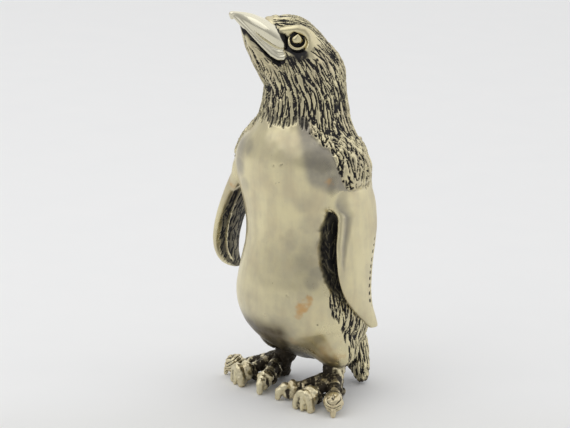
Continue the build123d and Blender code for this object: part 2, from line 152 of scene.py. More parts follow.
# %% [markdown]
# The head looks to the bird's right. Places on it are given as forward, to its left and up. Over each
# eye runs a rounded brow, behind it sits a knob, and a tuft stands off the nape. The caster built them
# up in wax, so they are beads that the skin melts over.

# %% Lumps of the face
head_turn = 38.0
neck_back = 1.3
gaze = np.array([-sin(radians(head_turn)), -cos(radians(head_turn)), 0.0])
left_of_head = np.array([cos(radians(head_turn)), -sin(radians(head_turn)), 0.0])


def on_head(forward, left, up):
    """A place on the head in the bird's frame."""
    return Vector(forward * gaze + left * left_of_head + np.array([0.0, neck_back, up]))


eye_forward, eye_up = 2.0, 51.9
mouth_line = [
    (10.55, 0.12, 55.3), (9.7, 0.5, 54.5), (8.3, 1.05, 53.0), (6.6, 1.75, 51.2),
    (5.3, 2.35, 49.95), (4.5, 2.65, 49.45), (3.8, 2.9, 49.45), (3.25, 3.1, 49.85),
]
brow_line = [
    (4.3, 2.5, 53.1), (3.1, 2.95, 53.25), (2.0, 3.3, 53.4),
    (1.0, 3.6, 53.2), (0.4, 3.95, 52.5), (0.15, 4.15, 51.5),
]
face_lumps = bmesh.new()
for side in (1, -1):
    brow = [on_head(forward, side * left, up) for forward, left, up in brow_line]
    bead_line(face_lumps, brow, [0.38, 0.52, 0.58, 0.56, 0.48, 0.34])
    forelock = [(5.3, 0.0, 54.25), (5.0, 1.2, 53.9), (4.6, 2.2, 53.1), (4.3, 2.8, 52.2)]
    forelock = [on_head(forward, side * left, up) for forward, left, up in forelock]
    bead_line(face_lumps, forelock, [0.5, 0.45, 0.36, 0.26])
    parting = [on_head(4.3, side * 0.2, 54.2), on_head(4.0, side * 1.5, 53.6)]
    bead_line(face_lumps, parting, [0.72, 0.66])
    knob = [on_head(-0.1, side * 4.7, 49.7), on_head(-0.9, side * 4.75, 48.9)]
    bead_line(face_lumps, knob, [0.4, 0.45])
tuft = [on_head(-3.6, 1.6, 50.6), on_head(-4.1, 1.8, 49.4), on_head(-4.3, 1.9, 48.3)]
bead_line(face_lumps, tuft, [0.6, 0.9, 0.7])
print("beads on the face:", len(face_lumps.verts))

# %% [markdown]
# The shoulders flow into the flippers in a web, and the belly flows into the thighs without a crease.
# Beads fill both places too. Stoppers inside the leg sockets, the vent and the throat keep the skin
# out of the hollow bird.

# %% Webs and hem
left_web = [
    (7.8, -2.6, 33.8), (8.1, -2.7, 32.4), (8.2, -3.1, 31.2),
    (8.35, -3.3, 30.2), (8.6, -3.3, 29.5),
]
right_web = [
    (-7.8, -2.6, 34.2), (-8.6, -2.6, 32.6), (-9.3, -2.5, 31.2),
    (-9.8, -2.5, 30.0), (-10.2, -2.4, 29.2),
]
hem = [(3.9, -1.0, 7.4), (5.5, -1.6, 8.7), (6.4, -1.4, 9.3), (7.1, -0.9, 9.7), (7.6, -0.2, 9.9)]
hem_radii = [1.2, 1.55, 1.65, 1.55, 1.3]
right_hem_back = 1.6
right_hem = [(-side, back + right_hem_back, up) for side, back, up in hem]
bead_line(face_lumps, left_web, [1.6, 1.55, 1.45, 1.25, 0.9])
bead_line(face_lumps, right_web, [1.5, 1.4, 1.1, 0.8, 0.5])
tail_hook = [(4.3, 8.9, 2.6), (4.7, 8.7, 1.5), (5.0, 8.4, 0.92)]
bead_line(face_lumps, hem, hem_radii)
bead_line(face_lumps, right_hem, hem_radii)
bead_line(face_lumps, tail_hook, [1.25, 1.0, 0.86])
vent_spot = Vector((0.0, 3.6, 0.0))
stopper_low, stopper_high = Vector((0, 0, 6.6)), Vector((0, 0, 7.4))
for spot, radius in ((leg_spots["left"], 1.5), (leg_spots["right"], 1.5), (vent_spot, 1.2)):
    bead_line(face_lumps, [spot + stopper_low, spot + stopper_high], [radius, radius])
throat = [on_head(0.0, 0.0, 47.3), on_head(0.5, 0.0, 49.2)]
bead_line(face_lumps, throat, [3.5, 1.9])
print("beads with the body's:", len(face_lumps.verts))

# %% [markdown]
# A casting has no mesh lines, so the solids of the skin are joined by a voxel remesh. Each solid is
# first swollen by a hair so that the solder gaps close. The hollow inside comes out as a loose shell
# of its own, and only the outer one is kept. A few rounds of smoothing polish the joints out.

# %% Skin of the bird
skin_nodes = ["breast_shell", "back_shell", "hood", "left_flipper", "right_flipper", "tail"]
swell = 0.06
voxel = 0.152
smooth_rounds = 7


def solid_copy(name):
    """A merged copy of a node's solid, in millimetres around the bird's axis."""
    solid = bmesh.new()
    solid.from_mesh(nodes[name].data)
    bmesh.ops.transform(solid, matrix=to_bird, verts=solid.verts)
    bmesh.ops.remove_doubles(solid, verts=solid.verts, dist=0.0005)
    return solid


def joined_mesh(names, grow, together):
    """The solids of several nodes, each grown along its normals, in one mesh with some lumps."""
    whole = bpy.data.meshes.new("whole")
    for name in names:
        solid = solid_copy(name)
        solid.normal_update()
        for vertex in solid.verts:
            vertex.co += vertex.normal * grow
        solid.to_mesh(whole)
        solid.free()
        together.from_mesh(whole)
    together.to_mesh(whole)
    together.free()
    return whole


def remeshed(mesh, size, rounds):
    """One even skin over everything in a mesh, smoothed, with only its outer shell kept."""
    thing = show("skin", mesh)
    coat = thing.modifiers.new("coat", "REMESH")
    coat.mode = "VOXEL"
    coat.voxel_size = size
    polish = thing.modifiers.new("polish", "SMOOTH")
    polish.factor = 0.5
    polish.iterations = rounds
    skin = finished_mesh(thing)
    edges = edge_rows(skin)
    label = np.arange(len(skin.vertices))
    while True:
        lowest = np.minimum(label[edges[:, 0]], label[edges[:, 1]])
        fresh = label.copy()
        np.minimum.at(fresh, label[edges[:, 0]], lowest)
        np.minimum.at(fresh, label[edges[:, 1]], lowest)
        fresh = fresh[fresh]
        fresh = fresh[fresh]
        if np.array_equal(fresh, label):
            break
        label = fresh
    points = rows(skin)
    shells = np.unique(label)
    reach = [np.ptp(points[label == shell], axis=0).prod() for shell in shells]
    outer = label == shells[int(np.argmax(reach))]
    shell = bmesh.new()
    shell.from_mesh(skin)
    shell.verts.ensure_lookup_table()
    inner = [shell.verts[i] for i in np.flatnonzero(~outer)]
    bmesh.ops.delete(shell, geom=inner, context="VERTS")
    shell.to_mesh(skin)
    shell.free()
    skin.update()
    return skin


skin = remeshed(joined_mesh(skin_nodes, swell, face_lumps), voxel, smooth_rounds)
points = rows(skin)
facing = normals(skin)
print("skin:", len(skin.vertices), "vertices", len(skin.polygons), "faces")
print("skin box:", points.min(axis=0).round(2), points.max(axis=0).round(2))

# %% [markdown]
# Every face of the skin belongs to the casting that lies nearest to it. One search tree over all the
# solids answers that.

# %% Which casting is where
solid_points = []
solid_faces = []
solid_owner = []
for number, name in enumerate(skin_nodes):
    solid = solid_copy(name)
    offset = len(solid_points)
    solid_points += [vertex.co.copy() for vertex in solid.verts]
    solid_faces += [[corner.index + offset for corner in face.verts] for face in solid.faces]
    solid_owner += [number] * len(solid.faces)
    solid.free()
solid_tree = BVHTree.FromPolygons(solid_points, solid_faces)
corners = np.empty(len(skin.polygons) * 4, dtype=np.int64)
skin.polygons.foreach_get("vertices", corners)
corners = corners.reshape(-1, 4)
centres = points[corners].mean(axis=1)
face_owner = np.array([solid_owner[solid_tree.find_nearest(Vector(c))[2]] for c in centres])
owner = np.zeros(len(points), dtype=np.int64)
for column in range(4):
    owner[corners[:, column]] = face_owner
print("faces per casting:", dict(zip(skin_nodes, np.bincount(face_owner, minlength=6).tolist())))

# %% [markdown]
# The camera stands where the photographer stood: to the bird's left and a little above it, with a
# long lens.

# %% Camera
camera_azimuth = 40.0
camera_elevation = 15.0
camera_distance = 300.0
millimetres_per_pixel = 0.145
picture_width, picture_height = 570, 428
origin_pixel = (299.2, 390.4)


def add_camera():
    """A camera that looks along the view direction, with the bird's foot at its pixel."""
    turn = radians(camera_azimuth)
    rise = radians(camera_elevation)
    back = Vector((sin(turn) * cos(rise), -cos(turn) * cos(rise), sin(rise)))
    right = Vector((cos(turn), sin(turn), 0))
    up = back.cross(right)
    across = (picture_width / 2 - origin_pixel[0]) * millimetres_per_pixel
    above = (origin_pixel[1] - picture_height / 2) * millimetres_per_pixel
    lens = bpy.data.cameras.new("camera")
    lens.sensor_width = 36.0
    lens.lens = camera_distance * lens.sensor_width / (picture_width * millimetres_per_pixel)
    lens.clip_start = 0.01
    lens.clip_end = 20.0
    camera = bpy.data.objects.new("camera", lens)
    bpy.context.scene.collection.objects.link(camera)
    spot = right * across + up * above + back * camera_distance
    turned = Matrix((right, up, back)).transposed().to_4x4()
    camera.matrix_world = Matrix.Translation(to_frame @ spot) @ turned
    bpy.context.scene.camera = camera
    return camera


camera = add_camera()
print("camera at", [round(v, 4) for v in camera.location])

# %% [markdown]
# The engraver's plan of the bird. Angles run around the trunk from the middle of the breast, the
# same to both sides, and heights run up from the floor. Smooth breast, ragged collar, proud mantle
# and hatched flanks meet along these borders, which soft random hills make uneven.

# %% Borders of the plumage
trunk_back = 0.5
collar_angles, collar_heights = [0, 20, 37, 50, 70, 180], [41.6, 41.9, 42.0, 40.8, 39.2, 36.0]
mantle_angles = [0, 46, 50, 59, 67, 70, 73, 79, 95, 103, 125, 180]
mantle_heights = [60, 44, 39.6, 38.2, 37.0, 34.9, 33.1, 31.9, 31.6, 32.4, 30.5, 29.0]
flank_heights = [4.0, 7.6, 9.2, 11.3, 13.8, 15.7, 17.7, 20.1, 22.5, 26.4, 28.5, 29.7, 33.0]
flank_angles = [92, 88, 86, 80, 70.5, 66, 63, 58, 55, 58, 62, 68, 80]


def step(low, high, values):
    """0 below low, 1 above high and a smooth ramp between."""
    ramp = np.clip((values - low) / (high - low), 0, 1)
    return ramp * ramp * (3 - 2 * ramp)


def hills(places, seed):
    """Soft random hills between -1 and 1, about one unit apart."""
    cell = np.floor(places).astype(np.int64)
    part = places - cell
    part = part * part * (3 - 2 * part)
    total = np.zeros(len(places))
    for corner in product((0, 1), repeat=3):
        key = (cell + corner) @ np.array([73856093, 19349663, 83492791]) + seed * 2654435761
        key = (key ^ (key >> 13)) * 1274126177 % 4294967296
        height = ((key ^ (key >> 16)) % 65536) / 32767.5 - 1
        total += height * np.prod(np.where(corner, part, 1 - part), axis=1)
    return total


def eased(points, share, rounds):
    """Draws points towards their neighbours, by a share of the way in each round."""
    chosen = np.flatnonzero(share > 0.01)
    inside = np.zeros(len(points), dtype=bool)
    inside[chosen] = True
    edges = edge_rows(skin)
    edges = edges[inside[edges].any(axis=1)]
    local, edges = np.unique(edges, return_inverse=True)
    first, second = edges.reshape(-1, 2).T
    ends = np.concatenate([first, second])
    others = np.concatenate([second, first])
    count = np.bincount(ends, minlength=len(local))
    moved = points[local]
    pull = share[local][:, None] * inside[local][:, None]
    for _ in range(rounds):
        drawn = [np.bincount(ends, moved[others, axis], len(local)) / count for axis in range(3)]
        moved = moved + pull * (np.stack(drawn, axis=1) - moved)
    done = points.copy()
    done[local] = moved
    return done


def from_edge(name, sign):
    """How far each vertex of a flipper lies behind its front edge, or before its rear one."""
    chosen = np.flatnonzero(part_of[name])
    tall = points[chosen, 2]
    level = np.floor(tall / 0.4).astype(np.int64)
    edge = np.full(level.max() + 1, np.inf)
    np.minimum.at(edge, level, sign * points[chosen, 1])
    known = np.flatnonzero(np.isfinite(edge))
    away = np.full(len(points), 99.0)
    away[chosen] = sign * points[chosen, 1] - np.interp(tall, 0.4 * known + 0.2, edge[known])
    return away


part_of = {name: owner == number for number, name in enumerate(skin_nodes)}
crease = np.array([5.6, -1.9, 7.9])
on_left_hem = step(4.6, 2.6, np.linalg.norm((points - crease) * [1, 1, 1.15], axis=1))
points = eased(points, 0.5 * on_left_hem, 310)
web_end = np.array([8.6, -3.2, 30.9])
on_web = step(3.8, 2.0, np.linalg.norm(points - web_end, axis=1))
points = eased(points, 0.5 * on_web, 110)
forward = points @ gaze - neck_back * gaze[1]
flatter = 0.9 * step(47.5, 50.5, points[:, 2]) * step(1.5, -3.5, forward)
flatter = flatter - 0.8 * step(8.3, 10.3, forward) * part_of["hood"]
points = points + flatter[:, None] * gaze
hollowed_depth, hollowed_height, hollowed_reach = 0.45, 27.4, 2.4
hollowed = hollowed_depth * np.exp(-((points[:, 2] - hollowed_height) / hollowed_reach) ** 2)
points[:, 1] += hollowed * step(2.2, 0.2, from_edge("left_flipper", 1))
place_rows(skin, points)
facing = normals(skin)
angle = np.degrees(np.arctan2(points[:, 0], trunk_back - points[:, 1]))
around = np.abs(angle)
height = points[:, 2]
on_flipper = part_of["left_flipper"] | part_of["right_flipper"]
ragged = hills(points * [1.6, 1.6, 0.3], 1)
collar = height - np.interp(around, collar_angles, collar_heights) + 0.9 * ragged
neck = step(-0.4, 0.4, collar)
above = height - np.interp(around, mantle_angles, mantle_heights) + 0.5 * ragged
mantle = step(-0.3, 0.35, above) * (1 - neck)
mantle_core = mantle * step(0.1, 0.6, above)
in_hollow = step(14.0, 18.0, height) * step(32.0, 29.6, height + 2.5 * (angle < 0))
flank = around - np.interp(height, flank_heights, flank_angles) + (3.5 - 2.5 * in_hollow) * ragged
flank = step(-2.5, 2.5, flank)
below_wing = np.maximum(step(31.0, 29.5, height), step(95, 105, around))
flank = flank * (1 - neck) * (1 - mantle) * ~on_flipper * below_wing
flank[part_of["tail"]] = 1
past_border = around - np.interp(height, flank_heights, flank_angles) + 1.2 * hills(points * 0.8, 3)
hollow = in_hollow * step(110, 95, around) * step(-2, 8, past_border) * ~on_flipper
open_flank = flank * (1 - step(16.0, 18.5, height) * step(32.0, 29.6, height) * step(104, 94, around))
hatch = hollow * step(3, 6, past_border) * step(29.0, 27.0, height)
# black_hollow is oxide with painted shade in the hollows on both flanks behind the flippers, with a
# soft ragged border.
soft_border = past_border + 3.0 * hills(points / 0.4, 4)
black_hollow = in_hollow * step(110, 95, around) * step(-7, 9, soft_border) * ~on_flipper
left_front = from_edge("left_flipper", 1)
left_rear = from_edge("left_flipper", -1)
right_front = from_edge("right_flipper", 1)
out_of_body = np.where(angle > 0, 1.0, -1.0)
turned_in = step(0.1, 0.6, -facing[:, 0] * out_of_body)
behind_front = np.minimum(left_front, right_front)
inner_face = on_flipper * turned_in * step(29.6, 28.4, height) * step(0.5, 1.0, behind_front)
quill = part_of["right_flipper"] * turned_in * step(0.22, 0.08, np.abs(right_front - 1.9))
quill = quill * step(16.0, 17.5, height) * step(29.4, 28.4, height)
inner_face = inner_face * (1 - quill)
valley_width = 0.4 + 1.5 * np.clip((height - 20.5) / 10.5, 0, 1)
valley = step(0.1, 0.9, left_front) * step(1.3, 0.3, (left_front - 0.3) / valley_width)
valley = valley * step(20.0, 22.0, height) * step(33.0, 29.5, height) * (1 - turned_in)
notches = step(0.4, 0.6, left_rear) * step(1.25, 1.0, left_rear) * step(14.4, 15.2, height)
dashes = np.sin(6.6 * height + 3.0 * hills(points / 1.7, 14))
notches = notches * step(26.0, 22.0, height) * step(-0.3, 0.4, dashes)
notches = notches * (1 - turned_in)
beside = np.abs(points @ left_of_head - neck_back * left_of_head[1])
forward = points @ gaze - neck_back * gaze[1]
slant = radians(25)
eye_along = (forward - eye_forward) * cos(slant) + (height - eye_up) * sin(slant)
eye_across = (height - eye_up) * cos(slant) - (forward - eye_forward) * sin(slant)
eye_along = eye_along * np.where(eye_along < 0, 1.0, 0.8)
from_eye = np.hypot(eye_along, 1.05 * eye_across + 0.15) + 0.22 * hills(points * 1.3, 12)
on_side = step(1.5, 2.5, beside) * (height > 47)
below_eye = 0.5 * (forward - eye_forward) - 0.85 * (height - eye_up)
round_eye = np.maximum(step(1.35, 1.1, from_eye), step(0.2, 0.9, below_eye))
socket = on_side * step(2.15, 1.5, from_eye) * round_eye
# cheek is painted shade on the face below the eye, towards the beak.
cheek = on_side * step(3.8, 1.8, from_eye) * step(0.4, 1.6, below_eye) * part_of["hood"]


def from_line(line, lower):
    """How far each vertex lies from a line of places on the head, on either side of the head."""
    nearest = np.full(len(points), 9.0)
    for first, second in zip(line, line[1:]):
        for share in np.arange(0, 1, 0.1):
            ahead, left, up = np.array(first) + share * (np.array(second) - first)
            away = np.sqrt((forward - ahead) ** 2 + (beside - left) ** 2 + (height - up + lower) ** 2)
            nearest = np.minimum(nearest, away)
    return nearest


narrower = 0.12 * step(6.0, 9.0, forward) + 0.25 * step(4.6, 3.6, forward)
# mouth is painted shade in the crevice under the upper beak's lip, along the jaw's upper edge.
mouth = step(0.8, 0.4, from_line(mouth_line, 0.5) + 0.15 * ragged + narrower)
mouth = mouth * step(9.7, 9.0, forward) * part_of["hood"]
on_brow = step(0.95, 0.7, from_line(brow_line, 0.0))
jowl_line = [(4.3, 2.7, 48.6), (3.0, 3.5, 47.4), (2.2, 4.0, 45.9)]
jowl = step(1.1, 0.5, from_line(jowl_line, 0.0))
neck = neck * (1 - on_side * step(2.2, 1.8, from_eye)) * (1 - on_brow)
shares = [round(float(area.mean()), 3) for area in (neck, mantle, flank)]
print("share of neck, mantle, flank:", shares)

# %% [markdown]
# Each stroke of the graver starts at a seeded place, runs with the lie of the feathers, wanders a
# little and tapers at both ends. The feathers lie down the neck and back, and back over the crown.

# %% Strokes of the graver
vertex_tree = KDTree(len(points))
for number, spot in enumerate(points):
    vertex_tree.insert(spot, number)
vertex_tree.balance()
swept_back = step(48.0, 53.0, height)[:, None]
slanted = step(42.5, 46.0, height)[:, None]
lie = np.array([0.0, 0.0, -1.0]) - (1.5 * swept_back + 0.5 * slanted) * gaze
lie = lie + np.where(part_of["tail"][:, None], [0.05, 0.25, -1.0], 0.0)
lie = lie - (lie * facing).sum(axis=1)[:, None] * facing
lie /= np.linalg.norm(lie, axis=1)[:, None] + 1e-9
stroke_spots = []
stroke_width = []
stroke_depth = []


def lay_strokes(region, cell, length, width, depth, wander, overrun):
    """Strokes over a region, one for each cell of a grid. They may run out of it by overrun."""
    keys = np.floor(points / cell + dice.random(3)).astype(np.int64)
    chosen = dice.permutation(np.flatnonzero(region > 0.5))
    _, first = np.unique(keys[chosen], axis=0, return_index=True)
    for start in chosen[first]:
        spot = points[start].copy()
        nearest = start
        count = max(4, int(dice.uniform(*length) / pace))
        spare = overrun / pace
        half = dice.uniform(*width)
        deep = dice.uniform(*depth)
        lean = dice.normal(0, wander)
        bend = dice.normal(0, wander) / count
        path = []
        while len(path) < count and spare > 0:
            path.append(spot)
            spare -= region[nearest] < 0.3
            lean += bend
            side = np.cross(facing[nearest], lie[nearest])
            spot = spot + pace * (lie[nearest] * cos(lean) + side * sin(lean))
            near, nearest, _ = vertex_tree.find(spot)
            spot = spot - facing[nearest] * ((spot - np.array(near)) @ facing[nearest])
        along = (np.arange(len(path)) + 0.5) / len(path)
        taper = (4 * along * (1 - along)) ** 0.5
        stroke_spots.extend(path)
        stroke_width.extend(half * (0.35 + 0.65 * taper))
        stroke_depth.extend(deep * taper)


pace = 0.09
low_neck = neck * step(46.5, 45.5, height + 2.0 * ragged)
high_neck = neck * step(44.5, 45.5, height + 2.0 * ragged)
lay_strokes(low_neck, [0.52, 0.52, 2.4], (2.4, 5.0), (0.13, 0.23), (0.22, 0.36), 0.09, 1.4)
lay_strokes(high_neck, [0.46, 0.46, 1.8], (1.4, 3.2), (0.1, 0.17), (0.15, 0.28), 0.12, 0.6)
lay_strokes(mantle_core, [0.7, 0.7, 1.3], (1.2, 2.8), (0.14, 0.28), (0.32, 0.52), 0.28, 0.1)
lay_strokes(open_flank, [0.47, 0.47, 2.0], (1.6, 3.8), (0.12, 0.2), (0.2, 0.34), 0.12, 0.5)
lay_strokes(hatch, [0.9, 0.9, 1.6], (1.2, 2.6), (0.09, 0.13), (0.05, 0.1), 0.35, 0.1)
lay_strokes(inner_face, [0.7, 0.7, 1.4], (0.8, 1.8), (0.1, 0.16), (0.04, 0.1), 0.25, 0.2)
stroke_width = np.array(stroke_width)
stroke_depth = np.array(stroke_depth)
stroke_tree = KDTree(len(stroke_spots))
for number, spot in enumerate(stroke_spots):
    stroke_tree.insert(spot, number)
stroke_tree.balance()
feathered = np.clip(neck + mantle_core + flank + inner_face, 0, 1)
oxide_reach = 1.25
cut = np.zeros(len(points))
groove = np.zeros(len(points))
for number in range(len(points)):
    _, stroke, distance = stroke_tree.find(points[number])
    share = distance / stroke_width[stroke]
    if share < oxide_reach:
        cut[number] = stroke_depth[stroke] * max(0.0, 1 - share * share)
        groove[number] = max(0.0, 1 - share / oxide_reach)
print("strokes' samples:", len(stroke_spots), "cut vertices:", int((cut > 0).sum()))

# %% [markdown]
# Now the skin moves: the mantle stands proud of the back, the collar a little over the breast, the
# cuts go in, and the polished parts keep the slight waves of hand work.

# %% Relief
waves = 0.05 * hills(points / 3.1, 5) + 0.025 * hills(points / 1.1, 6)
lumps = hills(points * [1.1, 1.1, 0.7], 8)
pit_marks = [
    (1.31, -7.12, 35.1, 0.16, 1), (2.43, -6.95, 35.3, 0.2, 1), (2.65, -6.93, 35.4, 0.15, 1),
    (1.58, -7.0, 32.6, 0.14, 1), (2.1, -7.0, 32.8, 0.12, 1), (3.86, -7.37, 17.0, 0.16, 1),
    (4.1, -7.3, 16.8, 0.14, 1), (7.3, -4.8, 12.6, 0.2, 1),
]
orange_marks = [
    (6.6, -5.8, 16.7, 0.5, 0.9), (6.3, -6.0, 16.0, 0.75, 1.0), (5.9, -6.35, 15.3, 0.8, 1.0),
    (5.6, -6.55, 14.7, 0.6, 0.8), (5.2, -6.7, 14.0, 0.5, 0.5),
    (4.7, -2.2, 7.5, 2.0, 0.35), (7.3, -2.0, 7.4, 2.0, 0.4), (2.9, -5.5, 9.4, 1.2, 0.3),
    (-10.0, -2.9, 29.9, 0.7, 0.8), (8.6, -3.9, 33.4, 0.7, 0.7),
]
# grey_marks are partly grey tarnish stains on the breast and partly painted shade, strongest on the
# right shoulder.
grey_marks = [
    (-6.1, -5.4, 36.3, 2.0, 0.6), (-4.2, -6.2, 36.8, 1.4, 0.5), (-6.1, -5.7, 33.7, 1.6, 0.6),
    (-4.9, -6.0, 31.3, 1.2, 0.4), (5.2, -5.6, 29.8, 1.5, 0.25), (5.8, -4.7, 26.9, 1.8, 0.3),
    (6.0, -4.8, 24.0, 2.0, 0.3), (5.6, -5.3, 21.6, 1.8, 0.35), (7.0, -4.6, 19.9, 1.4, 0.5),
    (6.6, -5.3, 18.8, 1.2, 0.5), (3.6, -6.0, 24.6, 1.6, 0.3),
]
# Painted shade on the face, on both sides: dark marks before, under and behind the eyes, on the
# forehead by the forelock and down the back of the head.
face_shade_marks = [
    (4.25, 3.0, 52.7, 0.55, 0.45), (3.9, 3.2, 51.8, 0.5, 0.5), (3.5, 3.2, 51.0, 0.5, 0.55),
    (3.4, 3.5, 49.0, 0.7, 0.35), (2.7, 4.05, 49.25, 0.7, 0.35), (2.0, 4.4, 49.5, 0.65, 0.4),
    (1.1, 4.65, 50.1, 0.55, 0.5), (-0.1, 4.65, 50.8, 0.4, 0.4), (-0.4, 5.0, 49.3, 0.3, 0.6),
    (4.8, 0.3, 54.25, 0.3, 0.7), (4.8, 1.95, 53.8, 0.3, 0.7), (4.6, 2.7, 53.2, 0.35, 0.7),
    (-3.2, 3.5, 49.5, 0.8, 0.7), (-3.75, 4.2, 44.7, 1.2, 0.4), (-4.2, 3.9, 43.3, 1.3, 0.4),
    (-4.7, 3.7, 41.85, 1.2, 0.35),
]
face_shade_marks = [
    (*on_head(ahead, side * left, up), radius, strength)
    for ahead, left, up, radius, strength in face_shade_marks for side in (1, -1)
]


def marked(marks, seed, wobble):
    """The strength of uneven round marks, which are given as place, radius and strength."""
    uneven = wobble * (0.35 * hills(points / 0.9, seed) + 0.2 * hills(points / 0.35, seed + 1))
    total = np.zeros(len(points))
    for *spot, radius, strength in marks:
        away = np.linalg.norm(points - spot, axis=1) / radius
        total = np.maximum(total, strength * step(1.3, 0.4, away + uneven))
    return total


pitted = marked(pit_marks, 60, 1.0)
orange = marked(orange_marks, 62, 1.5)
face_shade = marked(face_shade_marks, 66, 0.8) * part_of["hood"]
# Painted grey shade: shoulder is the shaded band on the breast under the mantle, low_belly darkens the
# belly towards the floor, and valley shades the groove behind the left flipper's front rim.
shoulder = step(36, 46, angle + 1.3 * (height - 36)) * step(31.6, 33.6, height + 0.05 * (angle - 50))
shoulder = shoulder * step(44.5, 42.0, height) * step(92, 78, angle)
shoulder = shoulder * (1 - mantle) * (1 - neck) * ~on_flipper
low_belly = step(21.0, 11.0, height) * step(48, 25, around) * part_of["breast_shell"]
grey = np.maximum(marked(grey_marks, 64, 0.3), 0.9 * valley)
grey = np.maximum(grey, np.maximum(0.9 * shoulder, 0.4 * low_belly))
mantle_rise, collar_rise, flank_rise, quill_rise = 0.34, 0.1, 0.05, 0.12
hollow_depth, socket_depth = 0.5, 0.3
valley_depth, notch_depth, pit_depth = 0.28, 0.3, 0.08
rise = mantle_rise * mantle + collar_rise * step(-2.0, 2.0, collar) + flank_rise * flank
rise = rise - hollow_depth * hollow - socket_depth * socket
rise = rise + (0.14 * mantle + 0.06 * neck + 0.05 * flank) * lumps + quill_rise * quill
rise = rise + waves * (1 - feathered) - cut
rise = rise - valley_depth * valley - notch_depth * notches - pit_depth * pitted
points = points + facing * rise[:, None]
place_rows(skin, points)
facing = normals(skin)
full_depth = 0.12
cavity_rounds = 45
deep = np.clip(cavity(skin, cavity_rounds) / full_depth, -1, 1) * (1 - 0.8 * jowl)
# under is painted shade: the belly's underside, the lowest band near the floor and the tail's underside
# turn dark brown and a little darker in the oxide map.
under = step(0.05, -0.55, facing[:, 2]) * step(14.0, 10.8, height) * step(32, 14, angle)
under = np.maximum(under, step(-0.6, -0.9, facing[:, 2]) * step(10, 8, height))
under = np.maximum(under, step(0.0, -0.4, facing[:, 2]) * part_of["tail"])
darker = 0.14 * neck + 0.12 * open_flank
in_strokes = 0.72 * groove * (1 - 0.6 * jowl)
in_cavities = 0.85 * deep * step(0.3, 0.95, feathered + 0.5 * groove)
# This map holds real oxide in the strokes, the cavities and the feathered zones, with painted shade
# added on top of it.
oxide_and_shade = (in_strokes + in_cavities + darker) * (1 - hollow)
oxide_and_shade = np.clip(oxide_and_shade, 0, 1) + (0.72 - 0.25 * groove) * black_hollow + 0.54 * inner_face + 0.9 * socket
oxide_and_shade = oxide_and_shade + 0.45 * pitted + 0.8 * mouth + 0.2 * under + 0.3 * cheek + 0.9 * notches - 0.8 * quill
oxide_and_shade = oxide_and_shade + face_shade
oxide_and_shade = np.clip(oxide_and_shade, 0, 1)
print("relief from", rise.min().round(3), "to", rise.max().round(3))

# %% [markdown]
# The skin is cut along the joints of the castings, so that each casting is a piece of its own. Votes
# of neighbouring faces even the cut lines out. Each cut gets a wall that goes a little way in, and a
# cap at the wall's foot. The normals of the whole skin stay with the pieces, so no joint shows where
# the solder was polished away.

# %% Pieces of the skin
wall_depth = 0.5
vote_rounds = 8
for _ in range(vote_rounds):
    votes = np.zeros((len(points), len(skin_nodes)))
    for column in range(4):
        np.add.at(votes, (corners[:, column], face_owner), 1)
    face_owner = votes[corners].sum(axis=1).argmax(axis=1)


def store(mesh, name, values):
    """Keeps one number for each vertex of a mesh under a name that materials read."""
    layer = mesh.attributes.new(name, "FLOAT", "POINT")
    layer.data.foreach_set("value", np.asarray(values, dtype=np.float32))


def skin_piece(number):
    """The faces of one casting as a closed piece in metres."""
    whole = bmesh.new()
    whole.from_mesh(skin)
    whole.faces.ensure_lookup_table()
    other = [whole.faces[i] for i in np.flatnonzero(face_owner != number)]
    bmesh.ops.delete(whole, geom=other, context="FACES")
    border = [edge for edge in whole.edges if edge.is_boundary]
    walls = bmesh.ops.extrude_edge_only(whole, edges=border)["geom"]
    lower = [part for part in walls if isinstance(part, bmesh.types.BMVert)]
    facing_layers = [whole.verts.layers.float["facing_" + axis] for axis in "xyz"]
    for vertex in lower:
        vertex.co -= wall_depth * Vector([vertex[layer] for layer in facing_layers])
    border = [edge for edge in whole.edges if edge.is_boundary]
    caps = bmesh.ops.holes_fill(whole, edges=border, sides=0)["faces"]
    bmesh.ops.triangulate(whole, faces=caps)
    bmesh.ops.transform(whole, matrix=to_frame, verts=whole.verts)
    mesh = mesh_of(skin_nodes[number] + "_skin", whole)
    outward = np.empty((len(mesh.vertices), 3))
    for column, axis in enumerate("xyz"):
        values = np.empty(len(mesh.vertices), dtype=np.float32)
        mesh.attributes["facing_" + axis].data.foreach_get("value", values)
        outward[:, column] = values
        mesh.attributes.remove(mesh.attributes["facing_" + axis])
    mesh.shade_smooth()
    mesh.normals_split_custom_set_from_vertices(outward.tolist())
    return show(skin_nodes[number] + "_skin", mesh)


store(skin, "oxide_and_shade", oxide_and_shade)
store(skin, "orange", orange)
store(skin, "grey", grey)
store(skin, "brown", under)
for column, axis in enumerate("xyz"):
    store(skin, "facing_" + axis, facing[:, column])
pieces = {}
for number, name in enumerate(skin_nodes):
    pieces[name] = skin_piece(number)
    print(name, len(pieces[name].data.polygons), "faces")

# %% [markdown]
# The upper beak is the one part of the head that is polished bright. Its edges hang down over the
# mouth as two rounded lips, so they are beads along the mouth line, melted into the solid of the beak.

# %% Upper beak
def melted(name, mesh, size, rounds, dark, rough=0.0):
    """A remeshed piece in metres. dark gives the oxide and painted shade from the points and the depth
    of cavities.
    """
    done = remeshed(mesh, size, rounds)
    spots = rows(done)
    bumps = rough * (hills(spots / 0.8, 95) + 0.5 * hills(spots / 0.35, 96))
    spots = spots + normals(done) * bumps[:, None]
    spots[:, 2] = np.maximum(spots[:, 2], 0.0)
    place_rows(done, spots)
    depth = cavity(done, 24)
    store(done, "oxide_and_shade", np.clip(dark(spots, depth), 0, 1))
    done.transform(to_frame)
    done.shade_smooth()
    return show(name, done)


